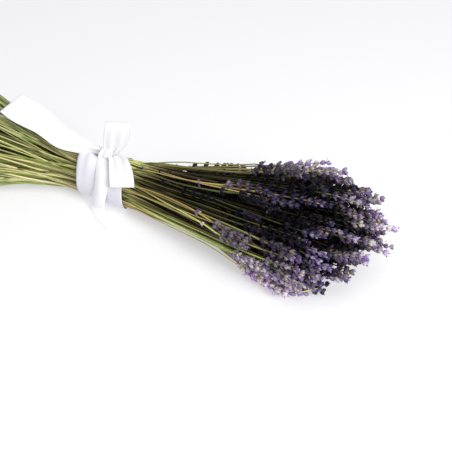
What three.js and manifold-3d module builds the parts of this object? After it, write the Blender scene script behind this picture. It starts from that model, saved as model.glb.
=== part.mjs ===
// A bunch of dried lavender lying on its side, tied at the waist with a white satin ribbon.
//
// Millimetres. +X runs from the cut stem ends through the tie to the flowers, +Z is up, and
// the origin is the middle of the flat spot under the tie, on the surface that it lies on.
//
// The sprigs grow in small bundles of three. In every cross-section of the bunch a bundle
// takes up a round place: narrow where only its stems pass, wide where its flower heads are.
// The places are pressed apart until none overlaps another and none sinks into the surface,
// so the stems fan out from the tie and bend round the shorter heads as they do in a real
// bunch. Stems and heads are then built along those places.

import * as THREE from "three";
import Module from "manifold-3d";

const wasm = await Module();
wasm.setup();

// The bunch.
const BUNDLES = 27;
const SPRIGS_IN_BUNDLE = 3;
const STEM_RADIUS = 1.05;
const STEM_CORNERS = 3;
const STEM_TAIL = 156; // tie to cut ends
const STEM_TAIL_SPREAD = 9; // how unevenly the ends are cut
const TIP_REACH = 272; // tie to the furthest flower tips
const TIP_ROUNDING = 71; // how much sooner the outermost sprigs end
const SHORT_HEAD_START = 116; // where the shortest sprigs' heads begin, at the sides
const SHORT_HEAD_START_RISE = 43; // how much sooner at the top, and later below
const SHORT_HEAD_START_SIDE = 28; // how much sooner on the far side, and later on the near side
const SHORT_HEAD_SHRINK = 0.3; // how much smaller their heads are
const FULL_LENGTH_CORE = 0.15; // the share of the bunch's radius with no short sprigs
const MIXED_RADIUS = 0.7; // the share from which short and long sprigs are mixed evenly
const HEAD_START_SPREAD = 6;
const TWIST = 0.0018; // radians per millimetre that the stems wind round the axis
const BEND = 0.22; // sideways slope of the cut stems, seen from above
const BEND_RUN = 30;

// The tie.
const TIE_RADIUS = 18.4; // the pressed stems, at the side of the cut ends
const TIE_TAPER = 0.04; // how fast they widen towards the flowers, as a slope of their radius
const TIE_HALF_LENGTH = 30; // the stretch where the stems stay pressed
const PRESSED_RADIUS = 2.8; // a bundle there, where its stems are pressed into one
const PRESSED_STEM_RADIUS = 1.5; // a stem where it leaves the tie
const PRESSED_TAPER = 24;
const SHORT_NECK = 100; // a stem that runs no further than this past the tie has no bend there
const STEM_ROOT = 1.5; // how deep a stem is sunk into the pressed block
const PIECE_GAP = 0.3;
const RIBBON_WIDTH = 25;
const RIBBON_TURNS_LENGTH = 46; // two turns side by side
const RIBBON_THICKNESS = 1.1;
const RIBBON_LEAF_THICKNESS = 0.9;
const RIBBON_SKEW = 0.3; // the turns lie askew: forward on the near side
const RIBBON_TURNS_X = 1; // their middle
const KNOT_HALF_SIZE = [8.5, 7.5, 5];
const RIBBON_INNER_RADIUS = TIE_RADIUS + PIECE_GAP;
const RIBBON_OUTER_RADIUS = RIBBON_INNER_RADIUS + RIBBON_THICKNESS;
const FLAT_SPOT_DEPTH = 0.25; // the ribbon is pressed flat below
const TIE_HEIGHT = RIBBON_OUTER_RADIUS - FLAT_SPOT_DEPTH;

// The spread of the bunch: slopes of its half width and half height past the tie on the side
// of the flowers, where the stems also spring up as they leave the ribbon, and of its half
// width and height on the side of the cut ends.
const FLOWER_WIDTH_SLOPE = 0.255;
const FLOWER_HEIGHT_SLOPE = 0.085;
const FLOWER_DRIFT = 0.013; // how far they lean to the far side
const SPRING_HEIGHT = 3.8;
const SPRING_RUN = 12;
const STEM_WIDTH_SLOPE = 0.5;
const STEM_HEIGHT_SLOPE = 0.62;

// One sprig inside its bundle.
const TIE_SPREAD = 1.15; // stem to bundle axis, in the tie
const HEAD_SPREAD = 5; // the same where the heads begin
const HEAD_SPREAD_SLOPE = 0.04;
const TAIL_SPREAD_SLOPE = 0.02;

// One flower head: rings of florets round a thin stalk.
const RING_PITCH = 11;
const RINGS = 5;
const FLORET_REACH = 6.1; // stalk axis to floret tip
const FLORET_VALLEY = 0.5; // how far the surface falls back between florets, as a share
const FLORET_TIP = 0.68; // where the florets' tips and roots lie along a ring's pitch
const FLORET_ROOT = 0.42;
const HEAD_POINT = 1.25; // and the point of the last ring
const STALK_RADIUS = 1.5;
const FLORETS_IN_RING = 4;
const HEAD_LENGTH = RINGS * RING_PITCH;

// Pressing the places apart.
const STATION_STEP = 16;
const FIRST_STATION = -160;
const LAST_STATION = 288;
const PLACE_CLEARANCE = 0.85;
const PRESS_ROUNDS = 150;
const FINAL_ROUNDS = 50;
const SMOOTHING = 0.25;
const HOMING = 0.055;
const LOW_HEAD_SINK = 2; // low heads' places may reach this far below, and are pressed flat there
const HEAD_PLACE_REACH = 10; // a place wider than this holds flower heads
const PLACE_END = 1.02; // a place ends just past the tips, as a share of the head's length

const sprigs = Array.from({ length: SPRIGS_IN_BUNDLE }, (_, i) => i);
const GOLDEN_ANGLE = Math.PI * (3 - Math.sqrt(5));
const STAGGER = 0.7548776662; // steps that spread evenly between 0 and 1
const ANGLE_SPREAD = 0.35;

const STEM_GREEN = new THREE.MeshStandardMaterial({ color: 0x8f9160, roughness: 0.8, metalness: 0 });
const FLOWER_VIOLET = new THREE.MeshStandardMaterial({ color: 0x4d4468, roughness: 0.9, metalness: 0 });
const RIBBON_WHITE = new THREE.MeshStandardMaterial({ color: 0xf6f5f8, roughness: 0.35, metalness: 0 });

// A repeatable draw between 0 and 1.
function seededDraw(seed) {
  let state = seed;
  return () => {
    state = (1664525 * state + 1013904223) % 4294967296;
    return state / 4294967296;
  };
}

// ---------------------------------------------------------------------------------------
// Where the bundles run.

// How much wider the tie is at x than at the side of the cut ends.
const taperAt = (x) => TIE_TAPER * THREE.MathUtils.clamp(x + TIE_HALF_LENGTH, 0, 2 * TIE_HALF_LENGTH);

// The outline of the bunch at a distance x from the tie, lying on the surface.
function outlineAt(x) {
  const run = Math.max(0, Math.abs(x) - TIE_HALF_LENGTH);
  const tie = TIE_HEIGHT + taperAt(x);
  if (x < 0) {
    const halfHeight = Math.hypot(2 * tie, STEM_HEIGHT_SLOPE * run) / 2;
    const halfWidth = Math.hypot(tie, STEM_WIDTH_SLOPE * run);
    const centreY = -BEND * (Math.hypot(run, BEND_RUN) - BEND_RUN);
    return { centreY, centreZ: halfHeight, halfWidth, halfHeight };
  }
  const spring = SPRING_HEIGHT * (1 - Math.exp(-run / SPRING_RUN));
  const halfHeight = tie + spring + FLOWER_HEIGHT_SLOPE * run;
  const halfWidth = tie + FLOWER_WIDTH_SLOPE * run;
  return { centreY: FLOWER_DRIFT * run, centreZ: halfHeight, halfWidth, halfHeight };
}

// How far each stem or head of a bundle lies from the bundle's axis.
function spreadAt(bundle, x) {
  const run = Math.max(0, Math.abs(x) - TIE_HALF_LENGTH);
  if (x < 0) return TIE_SPREAD + TAIL_SPREAD_SLOPE * run;
  const headSpread = bundle.size * HEAD_SPREAD;
  if (x > bundle.headStart) return headSpread + HEAD_SPREAD_SLOPE * (x - bundle.headStart);
  return TIE_SPREAD + ((headSpread - TIE_SPREAD) * run) / (bundle.headStart - TIE_HALF_LENGTH);
}

// A stem's radius: thicker beside the tie, where it stands for several.
function stemRadiusAt(x) {
  const fade = THREE.MathUtils.clamp((Math.abs(x) - TIE_HALF_LENGTH) / PRESSED_TAPER, 0, 1);
  return THREE.MathUtils.lerp(PRESSED_STEM_RADIUS, STEM_RADIUS, fade);
}

// How far the florets of one ring reach, for a share t of the head's length.
function floretReachAt(t) {
  return FLORET_REACH * Math.sin(Math.PI * (0.25 + 0.6 * t));
}

const pressedRadiusAt = (x) => (PRESSED_RADIUS * (TIE_RADIUS + taperAt(x))) / TIE_RADIUS;

// The radius of the round place that a bundle needs at x, or 0 past its tips.
function reachAt(bundle, x) {
  if (Math.abs(x) <= TIE_HALF_LENGTH) return pressedRadiusAt(x);
  const along = (x - bundle.headStart) / (bundle.size * HEAD_LENGTH);
  if (along > PLACE_END) return 0;
  if (along < 0) return spreadAt(bundle, x) + stemRadiusAt(x);
  return spreadAt(bundle, x) + bundle.size * floretReachAt(Math.min(1, along));
}

function plantBundles() {
  const draw = seededDraw(28);
  const bundles = [];
  for (let k = 0; k < BUNDLES; k++) {
    const rho = Math.sqrt((k + 0.5) / BUNDLES);
    const angle = k * GOLDEN_ANGLE + ANGLE_SPREAD * (draw() - 0.5);
    const outerness = THREE.MathUtils.inverseLerp(FULL_LENGTH_CORE, MIXED_RADIUS, rho);
    const shortness = THREE.MathUtils.clamp(outerness, 0, 1) * ((k * STAGGER) % 1);
    const size = 1 - SHORT_HEAD_SHRINK * shortness;
    const latest = TIP_REACH - TIP_ROUNDING * rho * rho - size * HEAD_LENGTH - HEAD_START_SPREAD * draw();
    const earliest =
      SHORT_HEAD_START - SHORT_HEAD_START_RISE * Math.sin(angle) - SHORT_HEAD_START_SIDE * Math.cos(angle);
    bundles.push({
      rho,
      angle,
      size,
      headStart: THREE.MathUtils.lerp(latest, earliest, shortness),
      tail: -(STEM_TAIL + STEM_TAIL_SPREAD * (draw() - 0.5)),
      turn: draw() * Math.PI * 2,
    });
  }
  return bundles;
}

const stations = [];
for (let x = FIRST_STATION; x <= LAST_STATION; x += STATION_STEP) stations.push(x);

// Where a bundle that needs a place of this reach at x would run if nothing pressed on it.
function homeAt(bundle, x, reach) {
  const outline = outlineAt(x);
  const angle = bundle.angle + TWIST * x;
  return {
    y: outline.centreY + bundle.rho * (outline.halfWidth - reach) * Math.cos(angle),
    z: outline.centreZ + bundle.rho * (outline.halfHeight - reach) * Math.sin(angle),
  };
}

function pressApart(a, b, i) {
  if (a.reach[i] === 0 || b.reach[i] === 0) return;
  const dy = b.path[i].y - a.path[i].y;
  const dz = b.path[i].z - a.path[i].z;
  const distance = Math.hypot(dy, dz);
  const need = a.reach[i] + b.reach[i] + PLACE_CLEARANCE;
  if (distance >= need) return;
  const push = (need - distance) / (2 * distance);
  a.path[i].y -= dy * push;
  a.path[i].z -= dz * push;
  b.path[i].y += dy * push;
  b.path[i].z += dz * push;
}

// Keeps a place above the surface and, in the tie, inside the ribbon.
function keepIn(bundle, i) {
  const place = bundle.path[i];
  const reach = bundle.reach[i];
  const sink = reach > HEAD_PLACE_REACH ? LOW_HEAD_SINK : 0;
  place.z = Math.max(place.z, reach - sink);
  if (Math.abs(stations[i]) > TIE_HALF_LENGTH + STATION_STEP / 2) return;
  const middle = TIE_HEIGHT + taperAt(stations[i]);
  const distance = Math.hypot(place.y, place.z - middle);
  const most = TIE_RADIUS + taperAt(stations[i]) - reach;
  if (distance <= most) return;
  place.y *= most / distance;
  place.z = middle + ((place.z - middle) * most) / distance;
}

function smoothPath(bundle) {
  const path = bundle.path;
  for (let i = 1; i < path.length - 1; i++) {
    const home = bundle.home[i];
    const bendY = path[i - 1].y + path[i + 1].y - 2 * path[i].y;
    const bendZ = path[i - 1].z + path[i + 1].z - 2 * path[i].z;
    path[i].y += SMOOTHING * bendY + HOMING * (home.y - path[i].y);
    path[i].z += SMOOTHING * bendZ + HOMING * (home.z - path[i].z);
  }
}

function settleBundles(bundles) {
  for (const bundle of bundles) {
    bundle.reach = stations.map((x) =>
      Math.max(...[-0.5, 0, 0.5].map((step) => reachAt(bundle, x + step * STATION_STEP))),
    );
    bundle.home = stations.map((x, i) => homeAt(bundle, x, bundle.reach[i] || bundle.size * HEAD_SPREAD));
    bundle.path = bundle.home.map((place) => ({ ...place }));
  }
  for (let round = 0; round < PRESS_ROUNDS + FINAL_ROUNDS; round++) {
    if (round < PRESS_ROUNDS) bundles.forEach(smoothPath);
    for (let i = 0; i < stations.length; i++) {
      for (let a = 0; a < bundles.length; a++) {
        for (let b = a + 1; b < bundles.length; b++) pressApart(bundles[a], bundles[b], i);
      }
      for (const bundle of bundles) keepIn(bundle, i);
    }
  }
}

// The settled axis of a bundle at x, on a smooth curve through its stations.
function axisAt(bundle, x) {
  const along = THREE.MathUtils.clamp((x - FIRST_STATION) / STATION_STEP, 0, stations.length - 1.001);
  const i = Math.floor(along);
  const t = along - i;
  const at = (j) => bundle.path[THREE.MathUtils.clamp(j, 0, stations.length - 1)];
  const blend = (key) => {
    const [p, q, r, s] = [at(i - 1)[key], at(i)[key], at(i + 1)[key], at(i + 2)[key]];
    return q + 0.5 * t * (r - p + t * (2 * p - 5 * q + 4 * r - s + t * (3 * (q - r) + s - p)));
  };
  return { y: blend("y"), z: blend("z") };
}

// The axis of one sprig of a bundle at x.
function sprigAt(bundle, sprig, x) {
  const axis = axisAt(bundle, x);
  const angle = bundle.turn + (sprig * 2 * Math.PI) / SPRIGS_IN_BUNDLE + TWIST * x;
  const spread = spreadAt(bundle, x);
  return { y: axis.y + spread * Math.cos(angle), z: axis.z + spread * Math.sin(angle), angle };
}

// ---------------------------------------------------------------------------------------
// Closed skins made of rings of points.

class Skin {
  constructor() {
    this.points = [];
    this.faces = [];
  }

  // Adds a ring and gives the numbers of its points.
  ring(points) {
    const first = this.points.length;
    this.points.push(...points);
    return points.map((_, i) => first + i);
  }

  band(lower, upper) {
    for (let i = 0; i < lower.length; i++) {
      const next = (i + 1) % lower.length;
      this.faces.push([lower[i], lower[next], upper[i]], [lower[next], upper[next], upper[i]]);
    }
  }

  // Closes the skin with a flat end on its first or last ring.
  end(ring, isLast) {
    for (let i = 1; i < ring.length - 1; i++) {
      this.faces.push(isLast ? [ring[0], ring[i], ring[i + 1]] : [ring[0], ring[i + 1], ring[i]]);
    }
  }

  solid() {
    const corner = (i) => new THREE.Vector3(...this.points[i]);
    let volume = 0;
    for (const [a, b, c] of this.faces) volume += corner(a).dot(corner(b).cross(corner(c)));
    if (volume < 0) this.faces.forEach((face) => face.reverse());
    return new wasm.Manifold(
      new wasm.Mesh({
        numProp: 3,
        vertProperties: new Float32Array(this.points.flat()),
        triVerts: new Uint32Array(this.faces.flat()),
      }),
    );
  }
}

function solidOfGeometry(geometry) {
  const skin = new Skin();
  const position = geometry.getAttribute("position");
  const seen = new Map();
  const numbers = [];
  for (let i = 0; i < position.count; i++) {
    const point = [position.getX(i), position.getY(i), position.getZ(i)];
    const key = point.map((value) => Math.round(value * 1e4)).join();
    if (!seen.has(key)) seen.set(key, skin.ring([point])[0]);
    numbers.push(seen.get(key));
  }
  const index = geometry.index.array;
  for (let i = 0; i < index.length; i += 3) {
    const face = [numbers[index[i]], numbers[index[i + 1]], numbers[index[i + 2]]];
    if (new Set(face).size === 3) skin.faces.push(face);
  }
  return skin.solid();
}

const joined = (solids) => solids.reduce((sum, solid) => sum.add(solid));

const roomAboveSurface = solidOfGeometry(new THREE.BoxGeometry(900, 500, 300).translate(50, 0, 150));

// What lies on the surface is pressed flat there.
const pressedFlat = (solid) => (solid.boundingBox().min[2] < 0 ? solid.intersect(roomAboveSurface) : solid);

// ---------------------------------------------------------------------------------------
// Stems and flower heads.

// A skin along x whose corners turn round the places that placeAt gives.
function skinAlong(rows, corners, placeAt, radiusAt) {
  const skin = new Skin();
  const rings = rows.map((x) => {
    const place = placeAt(x);
    return skin.ring(
      Array.from({ length: corners }, (_, corner) => {
        const angle = place.angle + (corner * 2 * Math.PI) / corners;
        const radius = radiusAt(x);
        return [x, place.y + radius * Math.cos(angle), place.z + radius * Math.sin(angle)];
      }),
    );
  });
  skin.end(rings[0], false);
  for (let i = 1; i < rings.length; i++) skin.band(rings[i - 1], rings[i]);
  skin.end(rings[rings.length - 1], true);
  return skin.solid();
}

// The stems of a bundle run into one pressed block in the tie.
function bundleStems(bundle) {
  const end = bundle.headStart - PIECE_GAP;
  const root = TIE_HALF_LENGTH - STEM_ROOT;
  const outer = TIE_HALF_LENGTH + PRESSED_TAPER;
  const tailRows = [bundle.tail, -outer, -root];
  const neckRows = [root, Math.min(outer, end - STEM_ROOT), end];
  if (end - outer > SHORT_NECK) neckRows.splice(2, 0, (outer + end) / 2 + STEM_ROOT);
  const block = skinAlong(
    [-TIE_HALF_LENGTH, TIE_HALF_LENGTH],
    2 * SPRIGS_IN_BUNDLE,
    (x) => ({ ...axisAt(bundle, x), angle: bundle.turn + TWIST * x }),
    pressedRadiusAt,
  );
  const stems = sprigs.flatMap((sprig) => {
    const placeAt = (x) => sprigAt(bundle, sprig, x);
    return [tailRows, neckRows].map((rows) => skinAlong(rows, STEM_CORNERS, placeAt, stemRadiusAt));
  });
  return joined([block, ...stems]);
}

// A head's skin swings out to the tips of each ring's florets and back to the stalk. Each
// ring is turned half a floret from the one before.
function flowerHead(bundle, sprig) {
  const skin = new Skin();
  const florets = FLORETS_IN_RING;
  const turn = Math.PI / florets;
  const at = (x, angle, radius) => {
    const place = sprigAt(bundle, sprig, x);
    return [x, place.y + radius * Math.cos(angle), place.z + radius * Math.sin(angle)];
  };
  const circle = (x, start, radius) =>
    Array.from({ length: florets }, (_, i) => at(x, start + 2 * i * turn, radius));
  // The first ring points a floret at the bundle's axis, so that the second ring's florets
  // meet those of the other heads.
  let start = sprigAt(bundle, sprig, bundle.headStart).angle + Math.PI;
  let stalk = skin.ring(circle(bundle.headStart, start, STALK_RADIUS));
  skin.end(stalk, false);
  const pitch = bundle.size * RING_PITCH;
  for (let ring = 0; ring < RINGS; ring++) {
    const x = bundle.headStart + ring * pitch;
    const reach = bundle.size * floretReachAt((ring + 0.5) / RINGS);
    const tips = skin.ring(circle(x + FLORET_TIP * pitch, start, reach));
    const valleys = skin.ring(circle(x + FLORET_ROOT * pitch, start + turn, reach * FLORET_VALLEY));
    const isLast = ring === RINGS - 1;
    const top = isLast
      ? skin.ring([at(x + HEAD_POINT * pitch, 0, 0)])
      : skin.ring(circle(x + pitch, start + turn, STALK_RADIUS));
    for (let i = 0; i < florets; i++) {
      const next = (i + 1) % florets;
      skin.faces.push([stalk[i], valleys[i], tips[i]]);
      skin.faces.push([stalk[i], stalk[next], valleys[i]]);
      skin.faces.push([stalk[next], tips[next], valleys[i]]);
      if (isLast) {
        skin.faces.push([tips[i], valleys[i], top[0]], [valleys[i], tips[next], top[0]]);
      } else {
        skin.faces.push([tips[i], valleys[i], top[i]], [valleys[i], tips[next], top[i]]);
        skin.faces.push([tips[next], top[next], top[i]]);
      }
    }
    stalk = top;
    start += turn;
  }
  return skin.solid();
}

// ---------------------------------------------------------------------------------------
// The ribbon.

const ribbonX = (y) => RIBBON_TURNS_X - RIBBON_SKEW * y;

function ribbonTurns() {
  const skin = new Skin();
  const steps = 18;
  const half = RIBBON_TURNS_LENGTH / 2;
  const rings = Array.from({ length: steps }, (_, i) => {
    const angle = (2 * Math.PI * i) / steps;
    const corner = (radius, side) => {
      const x = ribbonX(radius * Math.cos(angle)) + side * half;
      const wide = radius + taperAt(x);
      return [x, wide * Math.cos(angle), TIE_HEIGHT + taperAt(x) + wide * Math.sin(angle)];
    };
    return skin.ring([
      corner(RIBBON_INNER_RADIUS, -1),
      corner(RIBBON_INNER_RADIUS, 1),
      corner(RIBBON_OUTER_RADIUS, 1),
      corner(RIBBON_OUTER_RADIUS, -1),
    ]);
  });
  rings.forEach((ring, i) => skin.band(ring, rings[(i + 1) % steps]));
  return skin.solid();
}

// A length of ribbon along a curve. Each row gives a point of its middle line, the direction
// of its width and its width there.
function ribbonStrip(rows, steps) {
  const skin = new Skin();
  const middle = new THREE.CatmullRomCurve3(rows.map((row) => new THREE.Vector3(...row.at)));
  const across = new THREE.CatmullRomCurve3(
    rows.map((row) => new THREE.Vector3(...row.across).normalize().multiplyScalar(row.width / 2)),
  );
  const rings = Array.from({ length: steps + 1 }, (_, i) => {
    const t = i / steps;
    const point = middle.getPoint(t);
    const side = across.getPoint(t);
    const tangent = middle.getTangent(t);
    const face = tangent.clone().cross(side).normalize().multiplyScalar(RIBBON_LEAF_THICKNESS / 2);
    return skin.ring(
      [[-1, -1], [1, -1], [1, 1], [-1, 1]].map(([s, f]) =>
        point.clone().addScaledVector(side, s).addScaledVector(face, f).toArray(),
      ),
    );
  });
  skin.end(rings[0], false);
  for (let i = 1; i < rings.length; i++) skin.band(rings[i - 1], rings[i]);
  skin.end(rings[steps], true);
  return skin.solid();
}

const KNOT = [1, 6, 2 * (TIE_HEIGHT + taperAt(1)) + 3.2];

function ribbonKnot() {
  return solidOfGeometry(new THREE.SphereGeometry(1, 8, 5).scale(...KNOT_HALF_SIZE).translate(...KNOT));
}

// The loop that stands up behind the knot, its face to the near side.
const LOOP_UP = [
  { at: KNOT, across: [0.9, 0.4, 0], width: 9 },
  { at: [5, 3, 52], across: [0.9, 0.4, 0], width: 16 },
  { at: [10, 4, 66], across: [0.9, 0.4, 0], width: RIBBON_WIDTH },
  { at: [12, 8, 76], across: [0.9, 0.4, 0], width: RIBBON_WIDTH },
  { at: [12.5, 13.5, 78], across: [0.9, 0.4, 0], width: RIBBON_WIDTH },
  { at: [13, 18, 72], across: [0.9, 0.4, 0], width: RIBBON_WIDTH },
  { at: [10, 16, 58], across: [0.9, 0.4, 0], width: 18 },
  { at: KNOT, across: [0.9, 0.4, 0], width: 9 },
];

// The loop that lies forward over the edge of the turns, its width down the near side.
const LOOP_FORWARD = [
  { at: KNOT, across: [0.5, -0.8, -0.2], width: 9 },
  { at: [15.5, 1.5, 47.5], across: [0.62, -0.73, -0.27], width: 18 },
  { at: [28, 0.5, 51.5], across: [0.62, -0.73, -0.27], width: RIBBON_WIDTH },
  { at: [38, -2.5, 52.5], across: [0.62, -0.73, -0.27], width: RIBBON_WIDTH },
  { at: [42, -9, 51.5], across: [0.62, -0.73, -0.27], width: RIBBON_WIDTH },
  { at: [38.5, -16, 50.5], across: [0.62, -0.73, -0.27], width: RIBBON_WIDTH },
  { at: [26, -16, 49.5], across: [0.55, -0.75, -0.35], width: 24 },
  { at: [10.5, -5.5, 47.5], across: [0.4, -0.85, -0.3], width: 15 },
  { at: KNOT, across: [0.4, -0.85, -0.3], width: 9 },
];

// The long end, which springs from the knot to the spread of the cut stems.
const LONG_END = [
  { at: KNOT, across: [0.13, 0.73, 0.68], width: 9 },
  { at: [-15, 6, 47.5], across: [0.13, 0.73, 0.68], width: 14 },
  { at: [-33, 3, 51.5], across: [0.13, 0.73, 0.68], width: 18 },
  { at: [-62, 3, 59.5], across: [0.13, 0.73, 0.68], width: RIBBON_WIDTH },
  { at: [-87, 3.5, 67], across: [0.13, 0.73, 0.68], width: RIBBON_WIDTH },
  { at: [-106, 5, 71], across: [0.35, 0.65, 0.68], width: RIBBON_WIDTH },
];

// The short end, which falls over the turns and lies on the surface.
const SHORT_END = [
  { at: KNOT, across: [1, 0.1, 0.1], width: 9 },
  { at: [2, -6, 43], across: [1, 0.2, 0.1], width: 12 },
  { at: [7, -15.5, 37.5], across: [1, 0.2, 0], width: 14 },
  { at: [8.5, -22, 26], across: [1, 0.1, 0], width: 15 },
  { at: [7, -24, 12], across: [1, 0.2, 0], width: 15 },
  { at: [9, -27.5, 2.6], across: [1, 0.5, 0], width: 15 },
  { at: [16, -35.5, 0.5], across: [0.8, -0.6, 0], width: 15 },
  { at: [26, -45.5, 0.5], across: [0.8, -0.6, 0], width: 15 },
];

// The stems in the tie, which the bow keeps clear of.
const roomInsideTurns = skinAlong(
  [-RIBBON_TURNS_LENGTH, -TIE_HALF_LENGTH, TIE_HALF_LENGTH, RIBBON_TURNS_LENGTH],
  18,
  (x) => ({ y: 0, z: TIE_HEIGHT + taperAt(x), angle: 0 }),
  (x) => RIBBON_INNER_RADIUS + taperAt(x),
);

function ribbon() {
  const bow = joined([
    ribbonKnot(),
    ribbonStrip(LOOP_UP, 10),
    ribbonStrip(LOOP_FORWARD, 11),
    ribbonStrip(LONG_END, 6),
    ribbonStrip(SHORT_END, 10),
  ]);
  return joined([ribbonTurns(), bow.subtract(roomInsideTurns)]);
}

// ---------------------------------------------------------------------------------------

function meshOf(solid, name, material) {
  const { vertProperties, triVerts } = pressedFlat(solid).getMesh();
  const geometry = new THREE.BufferGeometry();
  geometry.setAttribute("position", new THREE.BufferAttribute(new Float32Array(vertProperties), 3));
  geometry.setIndex([...triVerts]);
  geometry.computeVertexNormals();
  const mesh = new THREE.Mesh(geometry, material);
  mesh.name = name;
  return mesh;
}

const lavenderBunch = new THREE.Group();
const bundles = plantBundles();
settleBundles(bundles);
bundles.forEach((bundle, k) => {
  const number = String(k + 1).padStart(2, "0");
  const stems = bundleStems(bundle);
  const heads = joined(sprigs.map((sprig) => flowerHead(bundle, sprig)));
  lavenderBunch.add(meshOf(stems, `stems_${number}`, STEM_GREEN));
  lavenderBunch.add(meshOf(heads, `flower_heads_${number}`, FLOWER_VIOLET));
});
lavenderBunch.add(meshOf(ribbon(), "ribbon", RIBBON_WHITE));

export default lavenderBunch;
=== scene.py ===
"""A bunch of dried lavender lying on its side, tied at the waist with a white satin ribbon.

The sprigs grow in bundles. In every cross-section of the bunch a bundle takes up a round
place, and the places are pressed apart, as in the model of the part. Each bundle then gets
its sprigs at their true size: thin stems, and heads of small calyces set in whorls. Its first
sprigs keep to the bundle's place, and the others run to even places at both ends of the bunch.
Lengths are millimetres until a mesh is made. Floor, lights and camera are set in metres.
"""

import math

import bpy
import numpy as np
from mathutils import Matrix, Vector


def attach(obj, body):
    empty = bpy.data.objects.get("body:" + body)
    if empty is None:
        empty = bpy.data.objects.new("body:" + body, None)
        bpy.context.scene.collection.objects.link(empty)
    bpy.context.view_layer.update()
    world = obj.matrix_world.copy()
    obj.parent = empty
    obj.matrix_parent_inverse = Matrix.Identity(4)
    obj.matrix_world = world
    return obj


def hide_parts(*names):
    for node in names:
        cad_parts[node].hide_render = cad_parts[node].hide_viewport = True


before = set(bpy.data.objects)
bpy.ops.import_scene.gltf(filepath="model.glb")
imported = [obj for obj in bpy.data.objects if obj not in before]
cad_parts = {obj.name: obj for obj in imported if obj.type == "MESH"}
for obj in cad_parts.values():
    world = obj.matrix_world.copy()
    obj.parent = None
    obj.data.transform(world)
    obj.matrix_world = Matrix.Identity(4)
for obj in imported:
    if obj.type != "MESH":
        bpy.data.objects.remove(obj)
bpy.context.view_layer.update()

MM = 0.001
UP = np.array([0.0, 0.0, 1.0])
rng = np.random.default_rng(12)

# ----------------------------------------------------------------------------------------
# The layout of the bunch, as in the part.

BUNDLES = 27
STEM_RADIUS = 1.05
STEM_TAIL = 156  # tie to cut ends
STEM_TAIL_SPREAD = 9  # how unevenly the ends are cut
TIP_REACH = 272  # tie to the furthest flower tips
TIP_ROUNDING = 71  # how much sooner the outermost sprigs end
SHORT_HEAD_START = 116  # where the shortest sprigs' heads begin, at the sides
SHORT_HEAD_START_RISE = 43  # how much sooner at the top, and later below
SHORT_HEAD_START_SIDE = 28  # how much sooner on the far side, and later on the near side
SHORT_HEAD_SHRINK = 0.3  # how much smaller their heads are
FULL_LENGTH_CORE = 0.15  # the share of the bunch's radius with no short sprigs
MIXED_RADIUS = 0.7  # the share from which short and long sprigs are mixed evenly
HEAD_START_SPREAD = 6
TWIST = 0.0018  # radians per millimetre that the stems wind round the axis
BEND = 0.22  # sideways slope of the cut stems, seen from above
BEND_RUN = 30
TIE_RADIUS = 18.4  # the pressed stems, at the side of the cut ends
TIE_TAPER = 0.04  # how fast they widen towards the flowers
TIE_HALF_LENGTH = 30  # the stretch where the stems stay pressed
PRESSED_RADIUS = 2.8  # a bundle there
PRESSED_STEM_RADIUS = 1.5
PRESSED_TAPER = 24
TIE_HEIGHT = 19.55
FLOWER_WIDTH_SLOPE = 0.255
FLOWER_HEIGHT_SLOPE = 0.085
FLOWER_DRIFT = 0.013  # how far the flowers lean to the far side
SPRING_HEIGHT = 3.8
SPRING_RUN = 12
STEM_WIDTH_SLOPE = 0.5
STEM_HEIGHT_SLOPE = 0.62
TIE_SPREAD = 1.15  # stem to bundle axis, in the tie
HEAD_SPREAD = 5  # the same where the heads begin
HEAD_SPREAD_SLOPE = 0.04
TAIL_SPREAD_SLOPE = 0.02
FLORET_REACH = 6.1
HEAD_LENGTH = 55
STATION_STEP = 16
FIRST_STATION = -160
LAST_STATION = 288
PLACE_CLEARANCE = 0.85
PRESS_ROUNDS = 150
FINAL_ROUNDS = 50
SMOOTHING = 0.25
HOMING = 0.055
LOW_HEAD_SINK = 2  # low heads' places may reach this far below the surface
HEAD_PLACE_REACH = 10  # a place wider than this holds flower heads
PLACE_END = 1.02  # a place ends just past the tips, as a share of the head's length
GOLDEN_ANGLE = math.pi * (3 - math.sqrt(5))
STAGGER = 0.7548776662  # steps that spread evenly between 0 and 1
ANGLE_SPREAD = 0.35
LAYOUT_SEED = 28

stations = list(range(FIRST_STATION, LAST_STATION + 1, STATION_STEP))


def seeded_draw(seed):
    """A repeatable draw between 0 and 1."""
    state = seed
    while True:
        state = (1664525 * state + 1013904223) % 2**32
        yield state / 2**32


def lerp(a, b, t):
    return a + (b - a) * t


def smooth_step(low, high, value):
    """Rises smoothly from 0 at low to 1 at high."""
    t = np.clip((value - low) / (high - low), 0, 1)
    return t * t * (3 - 2 * t)


def smooth_between(p, q, r, s, t):
    """A smooth curve from q to r, which come after p and before s, as t goes from 0 to 1."""
    return q + 0.5 * t * (r - p + t * (2 * p - 5 * q + 4 * r - s + t * (3 * (q - r) + s - p)))


def taper_at(x):
    """How much wider the tie is at x than at the side of the cut ends."""
    return TIE_TAPER * np.clip(x + TIE_HALF_LENGTH, 0, 2 * TIE_HALF_LENGTH)


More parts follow.
